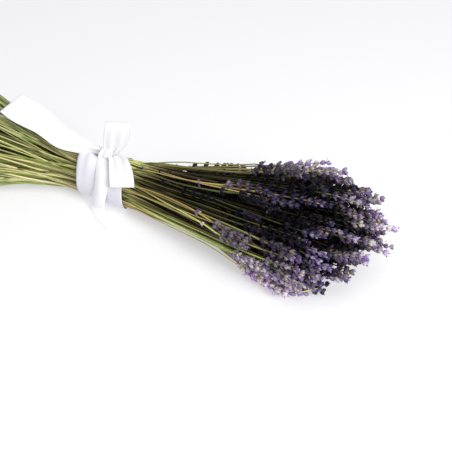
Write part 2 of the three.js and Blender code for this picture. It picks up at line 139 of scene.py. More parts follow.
def outline_at(x):
    """The middle (y, z) and the half width and half height of the bunch at x."""
    run = np.maximum(0, np.abs(x) - TIE_HALF_LENGTH)
    tie = TIE_HEIGHT + taper_at(x)
    spring = SPRING_HEIGHT * (1 - np.exp(-run / SPRING_RUN))
    cut_side = x < 0
    cut_height = np.hypot(2 * tie, STEM_HEIGHT_SLOPE * run) / 2
    half_height = np.where(cut_side, cut_height, tie + spring + FLOWER_HEIGHT_SLOPE * run)
    cut_width = np.hypot(tie, STEM_WIDTH_SLOPE * run)
    half_width = np.where(cut_side, cut_width, tie + FLOWER_WIDTH_SLOPE * run)
    cut_y = -BEND * (np.hypot(run, BEND_RUN) - BEND_RUN)
    centre_y = np.where(cut_side, cut_y, FLOWER_DRIFT * run)
    return centre_y, half_height, half_width, half_height


def spread_at(bundle, x):
    """How far a bundle's stems lie from its axis at x."""
    run = max(0, abs(x) - TIE_HALF_LENGTH)
    if x < 0:
        return TIE_SPREAD + TAIL_SPREAD_SLOPE * run
    head_spread = bundle["size"] * HEAD_SPREAD
    if x > bundle["start"]:
        return head_spread + HEAD_SPREAD_SLOPE * (x - bundle["start"])
    return TIE_SPREAD + ((head_spread - TIE_SPREAD) * run) / (bundle["start"] - TIE_HALF_LENGTH)


def stem_radius_at(x):
    fade = min(1, max(0, (abs(x) - TIE_HALF_LENGTH) / PRESSED_TAPER))
    return lerp(PRESSED_STEM_RADIUS, STEM_RADIUS, fade)


def reach_at(bundle, x):
    """The radius of the round place that a bundle needs at x, or 0 past its tips."""
    if abs(x) <= TIE_HALF_LENGTH:
        return PRESSED_RADIUS * (TIE_RADIUS + taper_at(x)) / TIE_RADIUS
    along = (x - bundle["start"]) / (bundle["size"] * HEAD_LENGTH)
    if along > PLACE_END:
        return 0
    if along < 0:
        return spread_at(bundle, x) + stem_radius_at(x)
    # A head swells and then narrows to its tip, like part of a half wave.
    floret = FLORET_REACH * math.sin(math.pi * (0.25 + 0.6 * min(1, along)))
    return spread_at(bundle, x) + bundle["size"] * floret


def earliest_start(angle):
    """Where the shortest sprigs' heads begin on that side of the bunch."""
    rise = SHORT_HEAD_START_RISE * math.sin(angle)
    return SHORT_HEAD_START - rise - SHORT_HEAD_START_SIDE * math.cos(angle)


def plant_bundles():
    draw = seeded_draw(LAYOUT_SEED)
    bundles = []
    for k in range(BUNDLES):
        rho = math.sqrt((k + 0.5) / BUNDLES)
        angle = k * GOLDEN_ANGLE + ANGLE_SPREAD * (next(draw) - 0.5)
        outerness = (rho - FULL_LENGTH_CORE) / (MIXED_RADIUS - FULL_LENGTH_CORE)
        shortness = min(1, max(0, outerness)) * ((k * STAGGER) % 1)
        size = 1 - SHORT_HEAD_SHRINK * shortness
        furthest = TIP_REACH - TIP_ROUNDING * rho * rho
        latest = furthest - size * HEAD_LENGTH - HEAD_START_SPREAD * next(draw)
        earliest = earliest_start(angle)
        bundles.append(
            {
                "number": f"{k + 1:02d}",
                "rho": rho,
                "angle": angle,
                "size": size,
                "start": lerp(latest, earliest, shortness),
                "tail": -(STEM_TAIL + STEM_TAIL_SPREAD * (next(draw) - 0.5)),
                "turn": next(draw) * math.pi * 2,
            }
        )
    return bundles


def home_at(bundle, x, reach):
    centre_y, centre_z, half_width, half_height = outline_at(x)
    angle = bundle["angle"] + TWIST * x
    return [
        float(centre_y + bundle["rho"] * (half_width - reach) * math.cos(angle)),
        float(centre_z + bundle["rho"] * (half_height - reach) * math.sin(angle)),
    ]


def keep_in(place, reach, x):
    """Keeps a place above the surface and, in the tie, inside the ribbon."""
    sink = LOW_HEAD_SINK if reach > HEAD_PLACE_REACH else 0
    place[1] = max(place[1], reach - sink)
    if abs(x) > TIE_HALF_LENGTH + STATION_STEP / 2:
        return
    middle = TIE_HEIGHT + taper_at(x)
    distance = math.hypot(place[0], place[1] - middle)
    most = TIE_RADIUS + taper_at(x) - reach
    if distance > most:
        place[0] *= most / distance
        place[1] = middle + ((place[1] - middle) * most) / distance


def smooth_path(bundle):
    path, home = bundle["path"], bundle["home"]
    for i in range(1, len(path) - 1):
        bend = [path[i - 1][c] + path[i + 1][c] - 2 * path[i][c] for c in (0, 1)]
        for c in (0, 1):
            path[i][c] += SMOOTHING * bend[c] + HOMING * (home[i][c] - path[i][c])


def press_apart(places, reaches):
    """Pushes apart the places of one cross-section that are too near each other."""
    for a in range(len(places)):
        pa, ra = places[a], reaches[a]
        if ra == 0:
            continue
        for b in range(a + 1, len(places)):
            pb, rb = places[b], reaches[b]
            if rb == 0:
                continue
            dy, dz = pb[0] - pa[0], pb[1] - pa[1]
            need = ra + rb + PLACE_CLEARANCE
            if abs(dy) >= need or abs(dz) >= need:
                continue
            distance = math.hypot(dy, dz)
            if distance >= need:
                continue
            push = (need - distance) / (2 * distance)
            pa[0] -= dy * push
            pa[1] -= dz * push
            pb[0] += dy * push
            pb[1] += dz * push


def settle(bundles):
    """Gives each bundle a path whose places clear the others' at every station."""
    for bundle in bundles:
        bundle["reach"] = [
            max(float(reach_at(bundle, x + step * STATION_STEP)) for step in (-0.5, 0, 0.5))
            for x in stations
        ]
        room = bundle["size"] * HEAD_SPREAD
        bundle["home"] = [
            home_at(bundle, x, reach or room) for x, reach in zip(stations, bundle["reach"])
        ]
        bundle["path"] = [list(place) for place in bundle["home"]]
    for press_round in range(PRESS_ROUNDS + FINAL_ROUNDS):
        if press_round < PRESS_ROUNDS:
            for bundle in bundles:
                smooth_path(bundle)
        for i, x in enumerate(stations):
            press_apart([b["path"][i] for b in bundles], [b["reach"][i] for b in bundles])
            for bundle in bundles:
                keep_in(bundle["path"][i], bundle["reach"][i], x)
    for bundle in bundles:
        bundle["path"] = np.array(bundle["path"])


def axis_at(bundle, x):
    """The settled axis of a bundle at each x, as rows of (y, z)."""
    last = len(stations) - 1
    along = np.clip((x - FIRST_STATION) / STATION_STEP, 0, last - 0.001)
    i = np.floor(along).astype(int)
    t = (along - i)[:, None]
    p, q, r, s = (bundle["path"][np.clip(i + step, 0, last)] for step in (-1, 0, 1, 2))
    return smooth_between(p, q, r, s, t)


# ----------------------------------------------------------------------------------------
# The sprigs of a bundle.

SPRIGS = 14
MAIN_SPRIGS = 3  # those that follow the stems and heads of the part
SPRIG_SIZES = (0.82, 1.12)
WHORL_COUNTS = (4, 8)  # from four to seven
WHORL_ROOM, WHORL_ROOM_GROWTH = 5.4, 0.3  # the length of head that each whorl takes
STEM_RADII = (0.5, 0.78)
CUT_SECTION = -140  # where the places of the cut ends are set out
HEAD_SECTION = 200  # and those of the heads
CUT_SHARE = 0.95  # how far out of the section the cut ends lie
TIE_SHARE = 0.95  # the stems in the tie
HEAD_SHARES = (0.9, 0.97)  # and the heads
SLACK = (0.88, 0.95)  # how far out a stem may stray past the tie
LOW_SLACK = 0.1  # more for the low ones
MAIN_TOP_SLACK = 1.15  # and for the upper ones of those that follow the part
CROSSING = 0.28  # how far round the bunch a stem drifts towards its cut end, in radians
HEAD_DRIFT = 0.1  # and towards its head
STEM_CURVE = 12  # how gently a stem leaves the tie
STEM_LEAVES = 6  # how far inside the tie's end it starts to
BOW = 1.1  # how far stems bow out between the tie and their ends
STRAY_BOW = 3.5  # and the few that stray
STRAY_CHANCE = 0.12
SWAY_RUN = 90  # how far past the tie a stem sways freely
TIP_BEND = 4
TIP_BEND_RUN = 70  # the last stretch of a sprig, which bends aside
CUT_ENDS_X = -162  # just past the cut ends
SPRING_UP = 5.5  # how far stems on top spring up just past the tie
ANY_TURN = (0, 6.3)

# How the sprigs that don't follow the part end.
RIM_SPREAD, FACING_RIM_SPREAD = 13, 6  # how unevenly, and on the side that faces the camera
LONG_CHANCE, LONG_BY = 0.2, (3, 13)  # some reach out past the others
UPPERMOST = 0.75  # further out and higher than this, some are raised to the part's height
RAISED_SHARE, RAISED_SLACK = 1.1, 1.12
DRAWN_BACK_CHANCE = 0.42  # on the far side, and rarer on the side that faces the camera
LOW_LIMIT, LOW_WHORLS = 0.35, 5  # low sprigs have short heads
LONE_LIMIT = 0.3  # and no lone whorl

# Sides of the bunch, as turns about its axis from the far side over the top.
TOP_SIDE = math.radians(98)
NEAR_SIDE = math.radians(155)
LOW_SIDE = math.radians(190)


def lift_at(x, z):
    """How far stems on top spring up where they leave the tie."""
    _, centre_z, _, half_height = outline_at(x)
    upward = np.clip((z - centre_z) / half_height, 0, 1)
    return SPRING_UP * smooth_step(8, 34, x) * smooth_step(100, 42, x) * upward**2


def shares_at(x, points):
    """Places at x as shares of the half width and half height, from the middle of the bunch."""
    centre_y, centre_z, half_width, half_height = outline_at(x)
    sideways = (points[..., 0] - centre_y) / half_width
    upward = (points[..., 1] - centre_z) / half_height
    return np.stack([sideways, upward], axis=-1)


def places_at(x, shares):
    """The places (y, z) at x that such shares stand for."""
    centre_y, centre_z, half_width, half_height = outline_at(x)
    y = centre_y + shares[..., 0] * half_width
    z = centre_z + shares[..., 1] * half_height
    return np.stack([y, z], axis=-1)


def even_shares(bundles, x):
    """Even places over the section at x, given out to the bundles that pass near them."""
    index = np.arange(SPRIGS * BUNDLES) + 0.5
    out, turn = np.sqrt(index / len(index)), index * GOLDEN_ANGLE
    spots = np.stack([out * np.cos(turn), out * np.sin(turn)], axis=1)
    near = [shares_at(x, axis_at(bundle, np.array([float(x)]))[0]) for bundle in bundles]
    taken = np.zeros(len(spots))
    too_far = 9  # in shares of the section, so that no spot is given out twice
    given = [[] for _ in bundles]
    for _ in range(SPRIGS):
        for k, middle in enumerate(near):
            pick = int(np.argmin(np.hypot(*(spots - middle).T) + too_far * taken))
            taken[pick] = 1
            given[k].append(spots[pick])
    return given


def turned(share, angle):
    """A place in the section carried round the middle of the bunch."""
    c, s = math.cos(angle), math.sin(angle)
    return np.array([share[0] * c - share[1] * s, share[0] * s + share[1] * c])


def drawn_sprig(bundle, number, cut, tie, head):
    """One sprig: its places in three sections of the bunch, its build and its small bends."""
    size, whorls = rng.uniform(*SPRIG_SIZES), int(rng.integers(*WHORL_COUNTS))
    return {
        "bundle": bundle,
        "main": number < MAIN_SPRIGS,
        "angle": bundle["turn"] + number * 2 * math.pi / MAIN_SPRIGS,
        "cut": turned(cut, rng.normal(0, CROSSING)) * CUT_SHARE,
        "tie": tie * TIE_SHARE,
        "head": turned(head, rng.normal(0, HEAD_DRIFT)) * rng.uniform(*HEAD_SHARES),
        "slack": rng.uniform(*SLACK),
        "tail": bundle["tail"] + rng.uniform(-3, 9),
        "whorls": whorls,
        "size": size,
        "radius": rng.uniform(*STEM_RADII),
        "kind": rng.random(),
        "shade": rng.random(),
        "bend": abs(rng.normal(0, TIP_BEND)),
        "bend_to": rng.uniform(0, 2 * math.pi),
        "bow": rng.normal(0, STRAY_BOW if rng.random() < STRAY_CHANCE else BOW, 2),
        # How far it sways to and fro, over which length, and where it starts.
        "sway": [(rng.uniform(0.1, 0.6), rng.uniform(90, 220), rng.uniform(*ANY_TURN)) for _ in (0, 1)],
    }


def loose_tip(sprig, angle, low, length):
    """Where a sprig that doesn't follow the part ends: at the end of the bunch, or drawn back."""
    out = np.hypot(*sprig["head"])
    facing = out * max(0, math.cos(angle - NEAR_SIDE))
    on_top = out * max(0, math.cos(angle - TOP_SIDE)) ** 8
    rim_spread = FACING_RIM_SPREAD if facing > 0.5 else RIM_SPREAD
    tip = TIP_REACH - TIP_ROUNDING * out**2 - abs(rng.normal(0, rim_spread))
    if rng.random() < LONG_CHANCE:
        tip += rng.uniform(*LONG_BY)
    sprig["slack"] += LOW_SLACK * low
    if out > UPPERMOST and math.sin(angle) > UPPERMOST and sprig["kind"] > 0.6:
        sprig["head"] *= RAISED_SHARE / out
        sprig["slack"] = RAISED_SLACK
        sprig["bend"] *= 0.3
    if rng.random() < DRAWN_BACK_CHANCE - 0.34 * facing + 0.5 * on_top:
        earliest = earliest_start(angle) - 8 - 22 * on_top + 45 * low
        first = min(tip, earliest + length)
        tip = first + (tip - first) * rng.random() ** (1 + 2.5 * on_top)
        sprig["bend"] *= 0.4
    return tip


def set_head(sprig):
    """Sets where a sprig's head starts and ends, by the side of the bunch on which it lies."""
    bundle, main = sprig["bundle"], sprig["main"]
    angle = bundle["angle"] if main else math.atan2(sprig["head"][1], sprig["head"][0])
    low = max(0, math.cos(angle - LOW_SIDE)) ** 4
    if low > LOW_LIMIT:
        sprig["whorls"] = min(sprig["whorls"], LOW_WHORLS)
    whorls = sprig["whorls"]
    length = sprig["size"] * (WHORL_ROOM * whorls + WHORL_ROOM_GROWTH * whorls * whorls)
    sprig["may_have_lone_whorl"] = low < LONE_LIMIT
    if main:
        tip = bundle["start"] + bundle["size"] * HEAD_LENGTH - rng.uniform(0, 4)
        if math.sin(angle) > 0.3:
            sprig["slack"] = MAIN_TOP_SLACK
        sprig["bend"] *= 0.5
    else:
        tip = loose_tip(sprig, angle, low, length)
    sprig.update(start=tip - length, tip=tip)


def sprigs_of(bundles):
    """The first sprigs of a bundle follow the part, and the rest reach for the end of the bunch."""
    cut, tie, head = (even_shares(bundles, x) for x in (CUT_SECTION, 0, HEAD_SECTION))
    sprigs = []
    for k, bundle in enumerate(bundles):
        for i in range(SPRIGS):
            sprig = drawn_sprig(bundle, i, cut[k][i], tie[k][i], head[k][i])
            set_head(sprig)
            sprigs.append(sprig)
    return sprigs


def main_places(sprig, x):
    """Places of a sprig that follows the part's stems and heads."""
    bundle = sprig["bundle"]
    turn = sprig["angle"] + TWIST * x
    spread = np.array([spread_at(bundle, at) for at in x])[:, None]
    places = axis_at(bundle, x) + spread * np.stack([np.cos(turn), np.sin(turn)], axis=1)
    inside = smooth_step(TIE_HALF_LENGTH + 50, TIE_HALF_LENGTH - 10, np.abs(x))[:, None]
    return places + inside * (places_at(x, sprig["tie"]) - places)


def loose_places(sprig, x):
    """Places of a sprig that runs nearly straight from the tie to its own places at both ends."""
    end = np.where(x < 0, CUT_SECTION, HEAD_SECTION).astype(float)
    run = np.maximum(0, np.abs(x) - TIE_HALF_LENGTH + STEM_LEAVES)
    whole_run = np.abs(end) - TIE_HALF_LENGTH + STEM_LEAVES
    away = np.hypot(run, STEM_CURVE) - STEM_CURVE
    away = (away / (np.hypot(whole_run, STEM_CURVE) - STEM_CURVE))[:, None]
    tie = places_at(np.clip(x, -TIE_HALF_LENGTH, TIE_HALF_LENGTH), sprig["tie"])
    ends = places_at(end, np.where((x < 0)[:, None], sprig["cut"], sprig["head"]))
    return tie + (ends - tie) * away + sprig["bow"] * (away * (1 - away) * 4)


def sprig_path(sprig, x):
    """Points along a sprig at each x."""
    places = main_places(sprig, x) if sprig["main"] else loose_places(sprig, x)
    loose = smooth_step(TIE_HALF_LENGTH, TIE_HALF_LENGTH + SWAY_RUN, np.abs(x))
    for column, (size, wave, phase) in enumerate(sprig["sway"]):
        places[:, column] += size * loose * np.sin(x / wave * 2 * math.pi + phase)
    shares = shares_at(x, places)
    past_tie = smooth_step(TIE_HALF_LENGTH - 8, TIE_HALF_LENGTH + 25, np.abs(x))
    most = TIE_SHARE + (sprig["slack"] - TIE_SHARE) * past_tie
    shares *= np.minimum(1, most / np.maximum(np.hypot(shares[:, 0], shares[:, 1]), 0.01))[:, None]
    # The cut stems sink until the lowest lie on the surface, which squares the section below.
    # The low heads of the near side do so too, a little.
    out = np.hypot(shares[:, 0], shares[:, 1])
    square = out / np.maximum(np.abs(shares).max(axis=1), 0.01) - 1
    low_heads = 0.6 * smooth_step(110, 190, x) * (shares[:, 0] < 0)
    square *= (smooth_step(-35, -95, x) + low_heads) * smooth_step(0.1, -0.4, shares[:, 1])
    shares *= (1 + square)[:, None]
    y, z = places_at(x, shares).T
    z = z + lift_at(x, z)
    bent = sprig["bend"] * np.clip((x - sprig["tip"] + TIP_BEND_RUN) / TIP_BEND_RUN, 0, 1) ** 2
    y = y + bent * math.cos(sprig["bend_to"])
    z = z + bent * math.sin(sprig["bend_to"])
    return np.stack([x, y, np.maximum(z, sprig["radius"] + 0.1)], axis=1)


# Sides of the bunch as (sideways, upward) in its section, where the far side is sideways.
FRONT = (-0.65, 0.75)
LOW_NEAR = (-0.97, -0.25)
LOW_CUT = (-0.7, -0.7)
TOP_CUT = (0.5, 0.86)
TOP = (0.35, 0.94)
FAR_TOP = (0.65, 0.76)
DEEPEST = 12  # how deep inside the bunch it is as dark as it gets
TIPS_SLOPE, CUT_ENDS_SLOPE = 0.45, 0.5  # how fast it gets deep from either end inwards


def tones_at(points, heads):
    """How much painted shade points get, deep inside the bunch and on its front, and how much painted light
    on its lit sides.
    """
    x = points[..., 0]
    shares = shares_at(x, points[..., 1:])

    def towards(side, low, high):
        return smooth_step(low, high, side[0] * shares[..., 0] + side[1] * shares[..., 1])

    out = np.hypot(shares[..., 0], shares[..., 1])
    _, _, half_width, half_height = outline_at(x)
    depth = (1 - out) * np.sqrt(half_width * half_height)
    depth = np.minimum(depth, TIPS_SLOPE * np.maximum(0, TIP_REACH - TIP_ROUNDING * out**2 - x))
    depth = np.minimum(depth, CUT_ENDS_SLOPE * (x - CUT_ENDS_X))
    # Painted shade: the deeper a point lies inside the bunch, the darker it is painted.
    painted_shade = smooth_step(0, DEEPEST, depth)
    # The front is in shade along the heads, up to their rim.
    front = towards(FRONT, 0.3, 0.8) * smooth_step(95, 150, x) * smooth_step(235, 195, x)
    painted_shade = painted_shade + (1 - painted_shade) * (0.84 if heads else 0.1) * front

    # Painted light: the sides where light falls are painted paler, namely the low near side, the low and top
    # sides of the cut ends, the top, the rim of the tips and the far top.
    lowest = 0.5 if heads else 0.64
    low_near = towards(LOW_NEAR, lowest, lowest + 0.36) * smooth_step(30, 90, x)
    low_near = low_near * (1 - 0.75 * smooth_step(200, 235, x))
    low_cut = 0.6 * towards(LOW_CUT, 0.6, 0.95) * (x < -40)
    top_cut = 0.7 * towards(TOP_CUT, 0.35, 0.85) * smooth_step(-40, -90, x)
    top = towards(TOP, 0.6, 0.95) * smooth_step(190, 100, x) * (x > 0)
    top = top * (1 if heads else 0.6)
    rim = (0.72 - 0.35 * towards(LOW_NEAR, 0.2, 0.7)) * smooth_step(205, 255, x)
    far = 0.85 * towards(FAR_TOP, 0.55, 0.85) * smooth_step(130, 180, x)
    return painted_shade, np.maximum.reduce([low_near, low_cut, top_cut, top, rim, far])


def frames_along(points):
    """Unit vectors across a path, sideways and upwards, at each of its points."""
    along = np.gradient(points, axis=0)
    along /= np.linalg.norm(along, axis=1)[:, None]
    side = np.cross(UP, along)
    side /= np.linalg.norm(side, axis=1)[:, None]
    return side, np.cross(along, side)


# ----------------------------------------------------------------------------------------
# Meshes.

# What each point of a mesh holds for its look: which of its kind it is, how far along it the point lies, its
# sprig's shade, the painted shade deep inside the bunch and the painted light on that side.
VALUES = ("kind", "along", "shade", "painted_shade", "painted_light")
SURFACE = 0.15  # no point of a head lies lower


class Mesh:
    """Gathers points, faces and values at the points for one object."""

    def __init__(self):
        self.points, self.faces, self.materials, self.values = [], [], [], []
        self.count = 0

    def add(self, points, faces, values, material=0):
        """values holds one row for each point, in the order of VALUES."""
        self.points.append(points)
        self.values.append(np.broadcast_to(values, (len(points), len(VALUES))))
        self.faces += [[self.count + i for i in face] for face in faces]
        self.materials += [material] * len(faces)
        self.count += len(points)

    def make(self, name, materials):
        mesh = bpy.data.meshes.new(name)
        mesh.from_pydata((np.concatenate(self.points) * MM).tolist(), [], self.faces)
        mesh.polygons.foreach_set("material_index", self.materials)
        mesh.polygons.foreach_set("use_smooth", [True] * len(self.faces))
        values = np.concatenate(self.values)
        for column, key in enumerate(VALUES):
            layer = mesh.attributes.new(key, "FLOAT", "POINT")
            layer.data.foreach_set("value", values[:, column].astype(np.float32))
        for material in materials:
            mesh.materials.append(material)
        piece = bpy.data.objects.new(name, mesh)
        bpy.context.scene.collection.objects.link(piece)
        return piece


def tube_faces(rows, sides):
    """Faces of a closed tube of rows rings."""
    faces = []
    for row in range(rows - 1):
        here, there = row * sides, (row + 1) * sides
        for i in range(sides):
            j = (i + 1) % sides
            faces.append([here + i, here + j, there + j, there + i])
    faces.append(list(range(sides))[::-1])
    faces.append([(rows - 1) * sides + i for i in range(sides)])
    return faces


STEM_SIDES = 5
STEM_STOPS = 5  # how far before the tip of its head a stem stops
BUNCH_LENGTH = 430
# Where a stem's rings lie as shares of its length, closer together round the tie.
STEM_ROWS = np.concatenate(
    [np.linspace(0, 0.32, 9)[:-1], np.linspace(0.32, 0.48, 7)[:-1], np.linspace(0.48, 1, 17)]
)
STEM_FACES = tube_faces(len(STEM_ROWS), STEM_SIDES)


def add_stem(mesh, sprig):
    x = sprig["tail"] + (sprig["tip"] - STEM_STOPS - sprig["tail"]) * STEM_ROWS
    points = sprig_path(sprig, x)
    side, up = frames_along(points)
    thin = np.clip((sprig["tip"] - x) / (sprig["tip"] - sprig["start"]), 0.2, 1)
    radius = sprig["radius"] * (0.4 + 0.6 * thin)
    turns = np.arange(STEM_SIDES) * 2 * math.pi / STEM_SIDES
    rings = (
        points[:, None, :]
        + (radius[:, None] * np.cos(turns))[:, :, None] * side[:, None, :]
        + (radius[:, None] * np.sin(turns))[:, :, None] * up[:, None, :]
    )
    painted_shade, painted_light = tones_at(points, False)
    painted_shade = np.where(x > sprig["start"] - 4, tones_at(points, True)[0], painted_shade)
    along = (x - FIRST_STATION) / BUNCH_LENGTH
    values = np.empty((len(x), STEM_SIDES, len(VALUES)))
    for column, value in enumerate((sprig["kind"], along, sprig["shade"], painted_shade, painted_light)):
        values[:, :, column] = np.broadcast_to(value, len(x))[:, None]
    mesh.add(rings.reshape(-1, 3), STEM_FACES, values.reshape(-1, len(VALUES)))


CALYX_LENGTH = 4.7
CALYX_CANT = (20, 46)  # degrees away from the stem
BRACT_LENGTH = 5.2
WHORL_GAPS = (1.55, 0.65)  # how far apart whorls lie, from the lowest to the tip
LAST_WHORL = 3  # how far before the tip
LONE_CHANCE, LONE_BELOW = 0.6, (9, 30)  # the lone whorl, and how far below the head it grows
PETAL_CHANCE, LIT_SIDE_PETAL_CHANCE = 0.2, 0.3  # the second is added where the sides are painted lit
BRACT_CHANCE = 0.55
# One calyx, a ribbed tube of unit length along +X: how far along each ring lies and how wide it is.
CALYX_RINGS = [(0.0, 0.08), (0.15, 0.21), (0.45, 0.31), (0.78, 0.29), (1.0, 0.14)]
CALYX_SIDES = 6


def calyx_shape():
    points = []
    for along, radius in CALYX_RINGS:
        for i in range(CALYX_SIDES):
            turn = i * 2 * math.pi / CALYX_SIDES
            points.append([along, radius * math.cos(turn), radius * math.sin(turn)])
    return np.array(points), tube_faces(len(CALYX_RINGS), CALYX_SIDES)


CALYX_POINTS, CALYX_FACES = calyx_shape()
# The withered petals at a calyx's mouth, and the dry bract under it.
PETAL_POINTS = np.array(
    [
        [0.9, -0.1, 0.0],
        [0.9, 0.1, 0.0],
        [1.12, 0.2, 0.1],
        [1.12, -0.2, 0.12],
        [1.3, 0.12, 0.26],
        [1.3, -0.1, 0.28],
    ]
)
PETAL_FACES = [[0, 1, 2, 3], [3, 2, 4, 5]]
BRACT_POINTS = np.array(
    [[0.0, 0.0, 0.0], [0.3, 0.28, 0.06], [0.75, 0.0, 0.02], [0.3, -0.28, 0.06], [0.3, 0.0, -0.02]]
)
BRACT_FACES = [[0, 4, 1], [1, 4, 2], [2, 4, 3], [3, 4, 0]]


def placed(shape, origin, x_axis, z_axis, scale):
    """A shape's points set with its +X along x_axis and its +Z near z_axis."""
    x_axis = x_axis / np.linalg.norm(x_axis)
    y_axis = np.cross(z_axis, x_axis)
    y_axis /= np.linalg.norm(y_axis)
    return origin + scale * (shape @ np.array([x_axis, y_axis, np.cross(x_axis, y_axis)]))


def on_surface(points):
    points[:, 2] = np.maximum(points[:, 2], SURFACE)
    return points


def whorl_places(sprig):
    """Where the whorls lie, apart low down and close together at the tip, often with a lone one."""
    count, length = sprig["whorls"], sprig["tip"] - sprig["start"]
    gaps = np.linspace(*WHORL_GAPS, count) * rng.uniform(0.88, 1.12, count)
    along = np.concatenate([[0], np.cumsum(gaps)[:-1]]) / gaps.sum()
    whorls = list(sprig["start"] + along * (length - LAST_WHORL))
    if rng.random() < LONE_CHANCE and sprig["may_have_lone_whorl"]:
        whorls.append(sprig["start"] - rng.uniform(*LONE_BELOW))
    return np.array(whorls)


def add_calyx(mesh, root, direction, outward, full, tones):
    """A calyx, perhaps with withered petals at its mouth. tones holds its shade, its painted shade and its
    painted light.
    """
    scale = CALYX_LENGTH * full * rng.uniform(0.8, 1.12)
    wide = np.array([1, rng.uniform(0.85, 1.15), rng.uniform(0.85, 1.15)])
    points = on_surface(placed(CALYX_POINTS * wide, root, direction, outward, scale))
    values = np.empty((len(points), len(VALUES)))
    values[:] = (rng.random(), 0, *tones)
    values[:, 1] = CALYX_POINTS[:, 0]
    mesh.add(points, CALYX_FACES, values)
    if rng.random() < PETAL_CHANCE + LIT_SIDE_PETAL_CHANCE * tones[-1]:
        open_to = outward + rng.normal(0, 0.7, 3)
        flap = on_surface(placed(PETAL_POINTS, root, direction, open_to, scale))
        mesh.add(flap, PETAL_FACES, (rng.random(), 1, *tones), 1)


def add_head(mesh, sprig):
    """Whorls of canted calyces round the stem, with a dry bract under about half of them."""
    x = whorl_places(sprig)
    ahead, here = sprig_path(sprig, x + 1), sprig_path(sprig, x)
    painted_shade, painted_light = tones_at(here, True)
    for i, at in enumerate(x):
        share = max(0, (at - sprig["start"]) / (sprig["tip"] - sprig["start"]))
        lone = at < sprig["start"]
        full = sprig["size"] * math.sin(math.pi * (0.4 + 0.36 * share)) * (0.8 if lone else 1)
        tones = (sprig["shade"], painted_shade[i], painted_light[i])
        tangent = ahead[i] - here[i]
        tangent /= np.linalg.norm(tangent)
        side = np.cross(UP, tangent)
        side /= np.linalg.norm(side)
        up = np.cross(tangent, side)
        calyces = int(rng.integers(3, 6)) if lone else int(round(rng.uniform(6, 8.4) - 3 * share))
        first = rng.uniform(*ANY_TURN)
        for c in range(calyces):
            turn = first + (c + rng.uniform(-0.3, 0.3)) * 2 * math.pi / calyces
            outward = math.cos(turn) * side + math.sin(turn) * up
            cant = math.radians(rng.uniform(*CALYX_CANT) * (1 - 0.45 * share))
            direction = math.cos(cant) * tangent + math.sin(cant) * outward
            root = here[i] + outward * 0.8 * full + tangent * rng.uniform(-0.8, 0.8)
            add_calyx(mesh, root, direction, outward, full, tones)
        if rng.random() < BRACT_CHANCE:
            turn = rng.uniform(*ANY_TURN)
            outward = math.cos(turn) * side + math.sin(turn) * up
            root, direction = here[i] + outward * 2.2, tangent + 1.3 * outward
            leaf = placed(BRACT_POINTS, root, direction, outward, BRACT_LENGTH * full)
            mesh.add(on_surface(leaf), BRACT_FACES, (rng.random(), 0, *tones), 2)


# ----------------------------------------------------------------------------------------
# Materials.


class Value:
    """An output socket, so that a look can be written as a formula."""

    def __init__(self, recipe, socket):
        self.recipe, self.socket = recipe, socket

    def math(self, operation, other, swap=False):
        pair = (other, self) if swap else (self, other)
        return self.recipe.node("ShaderNodeMath", {0: pair[0], 1: pair[1]}, operation=operation)

    def __add__(self, other):
        return self.math("ADD", other)

    def __sub__(self, other):
        return self.math("SUBTRACT", other)

    def __rsub__(self, other):
        return self.math("SUBTRACT", other, swap=True)

    def __mul__(self, other):
        return self.math("MULTIPLY", other)

    __radd__ = __add__
    __rmul__ = __mul__


class Recipe:
    """The nodes of one material."""

    def __init__(self, name):
        self.material = bpy.data.materials.new(name)
        self.material.use_nodes = True
        self.tree = self.material.node_tree
        self.surface = self.tree.nodes["Principled BSDF"]

    def put(self, socket, value):
        if isinstance(value, Value):
            self.tree.links.new(value.socket, socket)
        elif isinstance(value, tuple) and len(value) == 3 and socket.type == "RGBA":
            socket.default_value = (*value, 1)
        else:
            socket.default_value = value

    def node(self, kind, inputs, output=0, **settings):
        made = self.tree.nodes.new(kind)
        for key, setting in settings.items():
            setattr(made, key, setting)
        for key, value in inputs.items():
            self.put(made.inputs[key], value)
        return Value(self, made.outputs[output])

    def attribute(self, name):
        return self.node("ShaderNodeAttribute", {}, "Fac", attribute_name=name)

    def mix(self, factor, a, b):
        inputs = {"Factor": factor, 6: a, 7: b}
        return self.node("ShaderNodeMix", inputs, 2, data_type="RGBA")

    def clamped(self, value):
        return self.node("ShaderNodeMath", {0: value, 1: 0.0}, operation="ADD", use_clamp=True)

    def scale(self, colour, factor):
        return self.node("ShaderNodeVectorMath", {0: colour, "Scale": factor}, operation="SCALE")

    def steps(self, value, colours):
        """Runs through the colours as value goes from 0 to 1."""
        colour = colours[0]
        for i, later in enumerate(colours[1:]):
            colour = self.mix(value * (len(colours) - 1) - i, colour, later)
        return colour

    def noise(self, scale, detail, stretch=None):
        where = self.node("ShaderNodeTexCoord", {}, "Object")
        if stretch:
            where = self.node("ShaderNodeVectorMath", {0: where, 1: stretch}, operation="MULTIPLY")
        inputs = {"Vector": where, "Scale": scale, "Detail": detail}
        return self.node("ShaderNodeTexNoise", inputs, "Fac")

    def bump(self, height, distance, strength):
        inputs = {"Height": height, "Distance": distance, "Strength": strength}
        return self.node("ShaderNodeBump", inputs, "Normal")

    def finish(self, **inputs):
        for name, value in inputs.items():
            self.put(self.surface.inputs[name.replace("_", " ")], value)
        return self.material


STEM_SHADE = 0.93  # how much of their light stems and bracts lose deep inside the bunch
HEAD_SHADE = 0.96  # and flowers


